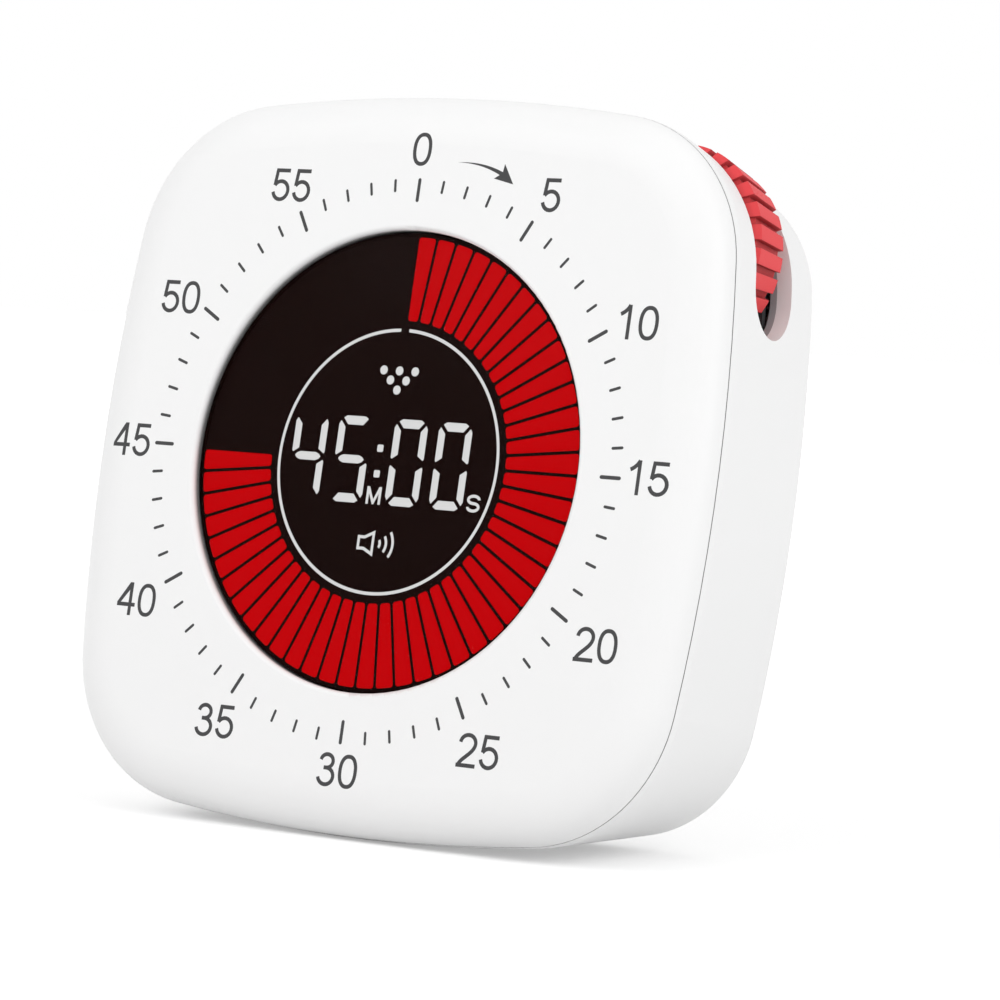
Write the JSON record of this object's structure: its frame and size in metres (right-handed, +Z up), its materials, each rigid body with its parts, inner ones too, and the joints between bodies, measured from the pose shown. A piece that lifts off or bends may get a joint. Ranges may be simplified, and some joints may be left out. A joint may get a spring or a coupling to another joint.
{
  "type": "visual countdown timer",
  "caption": "Soft-cornered square desk timer: round light display in a printed dial, ribbed thumb wheel at one corner, rear sound switch, push button, speaker grille and charging socket.",
  "frame": {"origin": "middle of the foot pad's underside, on the surface the timer stands on", "axes": "+Z up; the dial faces -Y and leans back 9 degrees; +X to the right seen from the front"},
  "size_m": [0.09, 0.0426, 0.0891],
  "materials": {
    "shell": "satin",
    "lens": "clear, polished",
    "display_black": "satin black",
    "segment_red": "translucent, lit red",
    "segment_idle": "translucent, unlit",
    "light_white": "translucent, lit white",
    "circuit_board": "solder mask",
    "chip_black": "moulded",
    "led_body": "small light",
    "connector": "moulded",
    "wheel_red": "satin",
    "liner_grey": "matte",
    "guard_dark": "matte",
    "steel": "plated",
    "brass": "turned",
    "acetal": "moulded",
    "cell": "foil pouch",
    "foam": "foam",
    "wire": "insulated wire",
    "paper": "paper cone",
    "magnet": "nickel plated magnet",
    "control_black": "satin",
    "control_grey": "satin",
    "foot_rubber": "matte",
    "dial_ink": "pad print"
  },
  "bodies": {
    "case": {"front_shell": "shell", "rear_housing": "shell", "display_lens": "lens", "lens_adhesive": "display_black", "display_housing": "display_black", "lit_segments": "segment_red", "idle_segments": "segment_idle", "lit_digit_bars": "light_white", "idle_digit_bars": "segment_idle", "light_ring": "light_white", "icon_diffusers": "light_white", "display_board": "circuit_board", "segment_leds": "led_body", "digit_leds": "led_body", "icon_leds": "led_body", "board_chips": "chip_black", "wire_connectors": "connector", "board_screws": "steel", "encoder_case": "chip_black", "encoder_bush": "brass", "wheel_bush": "acetal", "slot_bezel": "liner_grey", "wheel_guard": "guard_dark", "battery_cell": "cell", "battery_pad": "foam", "battery_leads": "wire", "speaker_frame": "steel", "speaker_cone": "paper", "speaker_magnet": "magnet", "speaker_gasket": "foam", "speaker_leads": "wire", "wall_magnets": "magnet", "input_board": "circuit_board", "charge_chips": "chip_black", "usb_shell": "steel", "usb_tongue": "chip_black", "switch_body": "chip_black", "tact_switch_body": "chip_black", "link_header": "chip_black", "link_socket": "chip_black", "link_pins": "brass", "case_screws": "steel", "input_board_screws": "steel", "foot_pad": "foot_rubber"},
    "wheel": {"thumb_wheel": "wheel_red", "encoder_shaft": "acetal"},
    "sound_switch": {"switch_knob": "control_black"},
    "button": {"rear_button": "control_grey", "tact_plunger": "control_grey"}
  },
  "joints": [
    {"name": "wheel_spin", "type": "hinge", "parent": "case", "child": "wheel", "pos_m": [0.0293, 0.0064, 0.07205], "axis": [0, 0.9877, -0.1564], "continuous": true},
    {"name": "switch_slide", "type": "slide", "parent": "case", "child": "sound_switch", "axis": [1, 0, 0], "range_m": [-0.002, 0.002]},
    {"name": "button_press", "type": "slide", "parent": "case", "child": "button", "axis": [0, -0.9877, 0.1564], "range_m": [0, 0.0008], "stiffness_N_per_m": 1500, "springref_m": -0.0002}
  ]
}
